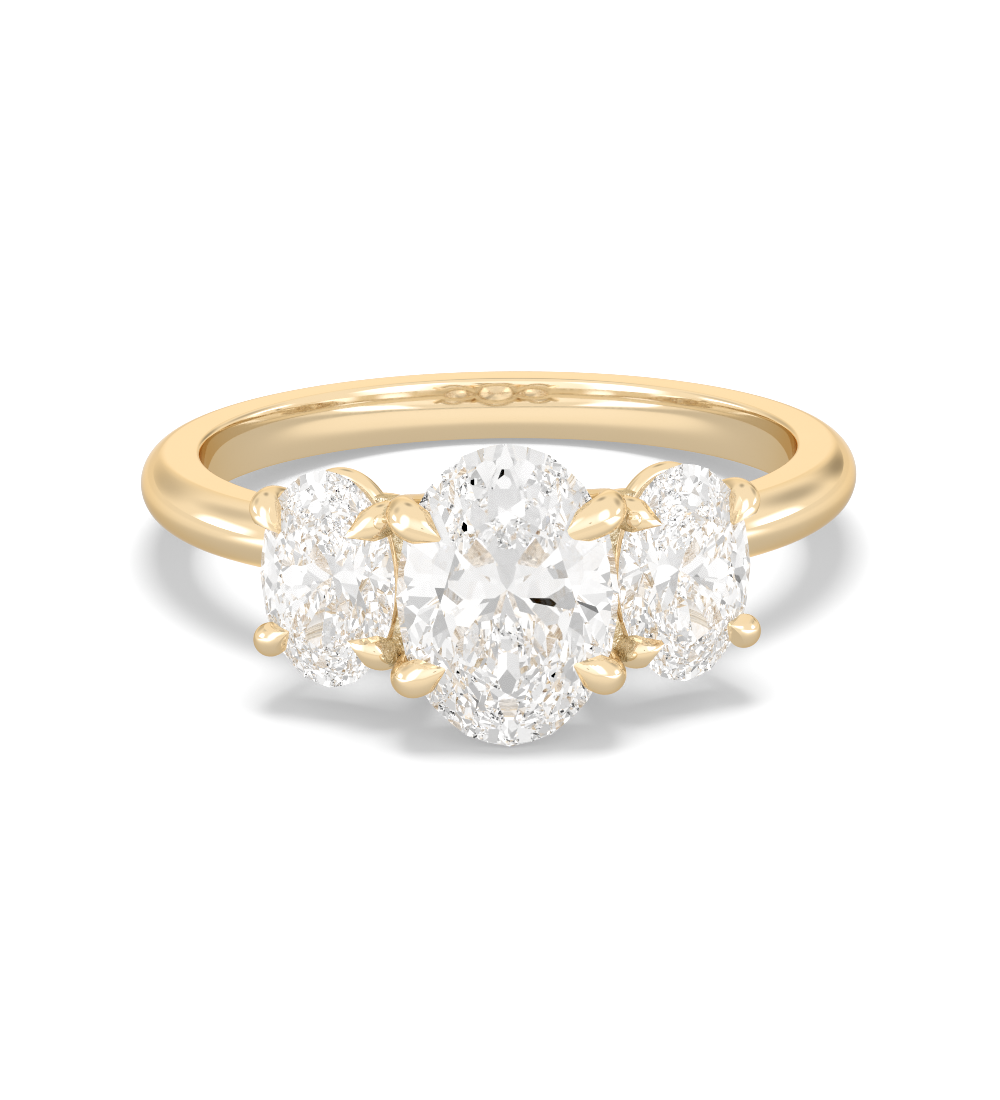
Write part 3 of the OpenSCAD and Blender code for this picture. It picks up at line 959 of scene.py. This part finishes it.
# The camera stands where the picture was taken from: its distance, its height over the
# ring's own plane, its turn and its roll, and where the ring's middle falls in the frame
IMAGE_W, IMAGE_H = 1000, 1100
FOCAL_PX = 10035
CAMERA_DISTANCE = 0.28
CAMERA_RISE = 13.34
CAMERA_YAW = 0.79
CAMERA_ROLL = 0.85
RING_AT_PX = (498.58, 475.84)
SENSOR_MM = 36
CLIP_NEAR = 0.01
PIXEL_FILTER = 1.0


def make_camera():
    rise, yaw = math.radians(CAMERA_RISE), math.radians(CAMERA_YAW)
    roll = math.radians(CAMERA_ROLL)
    way = Vector((-math.sin(yaw) * math.cos(rise), -math.cos(yaw) * math.cos(rise), math.sin(rise)))
    way = TURNED @ way
    look = -way
    right = look.cross(finger_axis).normalized()
    up = right.cross(look)
    rolled_right = math.cos(roll) * right - math.sin(roll) * up
    rolled_up = math.sin(roll) * right + math.cos(roll) * up
    off_x = (RING_AT_PX[0] - IMAGE_W / 2) / FOCAL_PX
    off_y = (IMAGE_H / 2 - RING_AT_PX[1]) / FOCAL_PX
    look = (look - off_x * rolled_right - off_y * rolled_up).normalized()
    rolled_right = (rolled_right - look * rolled_right.dot(look)).normalized()
    rolled_up = rolled_right.cross(look)
    data = bpy.data.cameras.new("camera")
    data.sensor_fit = "HORIZONTAL"
    data.sensor_width = SENSOR_MM
    data.lens = SENSOR_MM * FOCAL_PX / IMAGE_W
    data.clip_start = CLIP_NEAR
    camera = bpy.data.objects.new("camera", data)
    bpy.context.scene.collection.objects.link(camera)
    turned = Matrix((rolled_right, rolled_up, -look)).transposed()
    camera.matrix_world = Matrix.Translation(ring_middle + way * CAMERA_DISTANCE) @ turned.to_4x4()
    bpy.context.scene.camera = camera


# A white tent about the ring. Each panel in it is a softbox or a darker card, with the compass
# bearing of its middle (0 behind the ring, 90 to its right), its rise over the table, its
# half width and half height in degrees, how soft its edge is as a share of its size, how
# square it is (2 is an oval), and what it adds to the tent's own level
TENT_LEVEL = 1.0
PANELS = {
    "left softbox": (-79, 4, 17, 16, 0.8, 3, 1.6),
    "right softbox": (80, 2, 16, 16, 0.8, 3, 1.6),
    "front left softbox": (-126, 24, 22, 38, 0.8, 3, 1.3),
    "front right softbox": (138, 30, 22, 32, 0.8, 3, 1.3),
    "back glow": (0, 5, 14, 9, 0.9, 2, 0.2),
    "front glow": (180, 25, 60, 40, 0.9, 2, 0.35),
    "left card": (-30, 10, 26, 20, 0.9, 2, -0.35),
    "left high card": (-60, 32, 22, 20, 0.9, 2, -0.3),
    "right card": (26, 6, 18, 16, 0.9, 2, -0.6),
    "right high card": (50, 24, 24, 20, 0.9, 2, -0.45),
    "back high card": (-2, 46, 14, 20, 0.9, 2, -0.5),
    "camera": (174, 17, 4, 4, 0.6, 2, -0.95),
}
# What the stones see through their facets: the dark front of the camera in the tent, and a
# dark patch painted on the table, which only the stones show
STONE_PANELS = {
    "camera": (166, 19, 11, 7, 0.6, 2, -0.84),
}
PAINTED_TABLE_PATCHES = {
    "front left card": (-106, -10, 9, 6, 0.6, 2, -0.8),
}
STONES_OVER_TABLE = 0.0045
# A way of looking that is turned away from a softbox, or nearly, finds it far off
EDGE_ON = 0.001
FAR_OFF = 1000


def softbox_tree():
    """The level of one softbox or card in a way of looking, over the level of what is behind."""
    tree = bpy.data.node_groups.new("softbox", "ShaderNodeTree")
    sockets(tree, (("Way", "Vector"), ("Aim", "Vector"), ("Right", "Vector"), ("Up", "Vector"),
                   ("Half width", "Float"), ("Half height", "Float"), ("Edge", "Float"),
                   ("Squareness", "Float"), ("Strength", "Float"), ("Below", "Float")),
            (("Level", "Float"),))
    given = tree.nodes.new("NodeGroupInput").outputs
    result = tree.nodes.new("NodeGroupOutput").inputs
    ahead = vector_of(tree, "DOT_PRODUCT", given["Way"], given["Aim"])
    near = math_of(tree, "MAXIMUM", ahead, EDGE_ON)
    size = 0
    for axis, half in (("Right", "Half width"), ("Up", "Half height")):
        aside = vector_of(tree, "DOT_PRODUCT", given["Way"], given[axis])
        share = math_of(tree, "ABSOLUTE", math_of(tree, "DIVIDE", aside, near))
        share = math_of(tree, "DIVIDE", share, given[half])
        size = math_of(tree, "ADD", size, math_of(tree, "POWER", share, given["Squareness"]))
    size = math_of(tree, "POWER", size, math_of(tree, "DIVIDE", 1, given["Squareness"]))
    turned_away = math_of(tree, "LESS_THAN", ahead, EDGE_ON)
    size = math_of(tree, "ADD", size, math_of(tree, "MULTIPLY", turned_away, FAR_OFF))
    level = ranged(tree, size, True, from_min=math_of(tree, "SUBTRACT", 1, given["Edge"]),
                   to_min=given["Strength"], to_max=0)
    feed(tree, math_of(tree, "ADD", level, given["Below"]), result["Level"])
    return tree


SOFTBOX = softbox_tree()


def tent_of(tree, way, panels, level):
    """The level of a tent and its panels, one softbox node after another."""
    for name, (bearing, rise, half_w, half_h, edge, square, strength) in panels.items():
        turn, lean = math.radians(bearing), math.radians(rise)
        aim = Vector((math.sin(turn) * math.cos(lean), math.cos(turn) * math.cos(lean), math.sin(lean)))
        right = Vector((math.cos(turn), -math.sin(turn), 0))
        box = tree.nodes.new("ShaderNodeGroup")
        box.node_tree = SOFTBOX
        box.label = name
        half_sizes = [math.tan(math.radians(half)) for half in (half_w, half_h)]
        values = (way, aim, right, right.cross(aim), *half_sizes, edge, square, strength, level)
        level = fed(tree, box, values, "Level")
    return level


def make_world():
    world = bpy.data.worlds.new("tent")
    bpy.context.scene.world = world
    world.use_nodes = True
    tree = world.node_tree
    way = tree.nodes.new("ShaderNodeTexCoord").outputs["Generated"]
    seen = tree.nodes.new("ShaderNodeLightPath").outputs
    on_metal = tent_of(tree, way, PANELS, TENT_LEVEL)
    on_stones = tent_of(tree, way, STONE_PANELS, folds(tree, way))
    level = mixed(tree, seen["Is Transmission Ray"], on_metal, on_stones, "FLOAT")
    ground = tree.nodes["Background"].inputs
    feed(tree, level, ground["Strength"])
    feed(tree, cooled(tree, level, seen), ground["Color"])


# Light turns round many times inside a stone before it comes out again
STONE_BOUNCES = 48
make_floor()
make_lamp()
make_camera()
make_world()
scene = bpy.context.scene
scene.view_settings.view_transform = "Standard"
scene.view_settings.look = "None"
scene.cycles.max_bounces = STONE_BOUNCES
scene.cycles.transmission_bounces = STONE_BOUNCES
scene.cycles.glossy_bounces = STONE_BOUNCES
scene.cycles.blur_glossy = 0
scene.cycles.filter_width = PIXEL_FILTER
scene.cycles.caustics_reflective = False
scene.cycles.caustics_refractive = False
scene.cycles.use_denoising = True

bpy.context.view_layer.update()
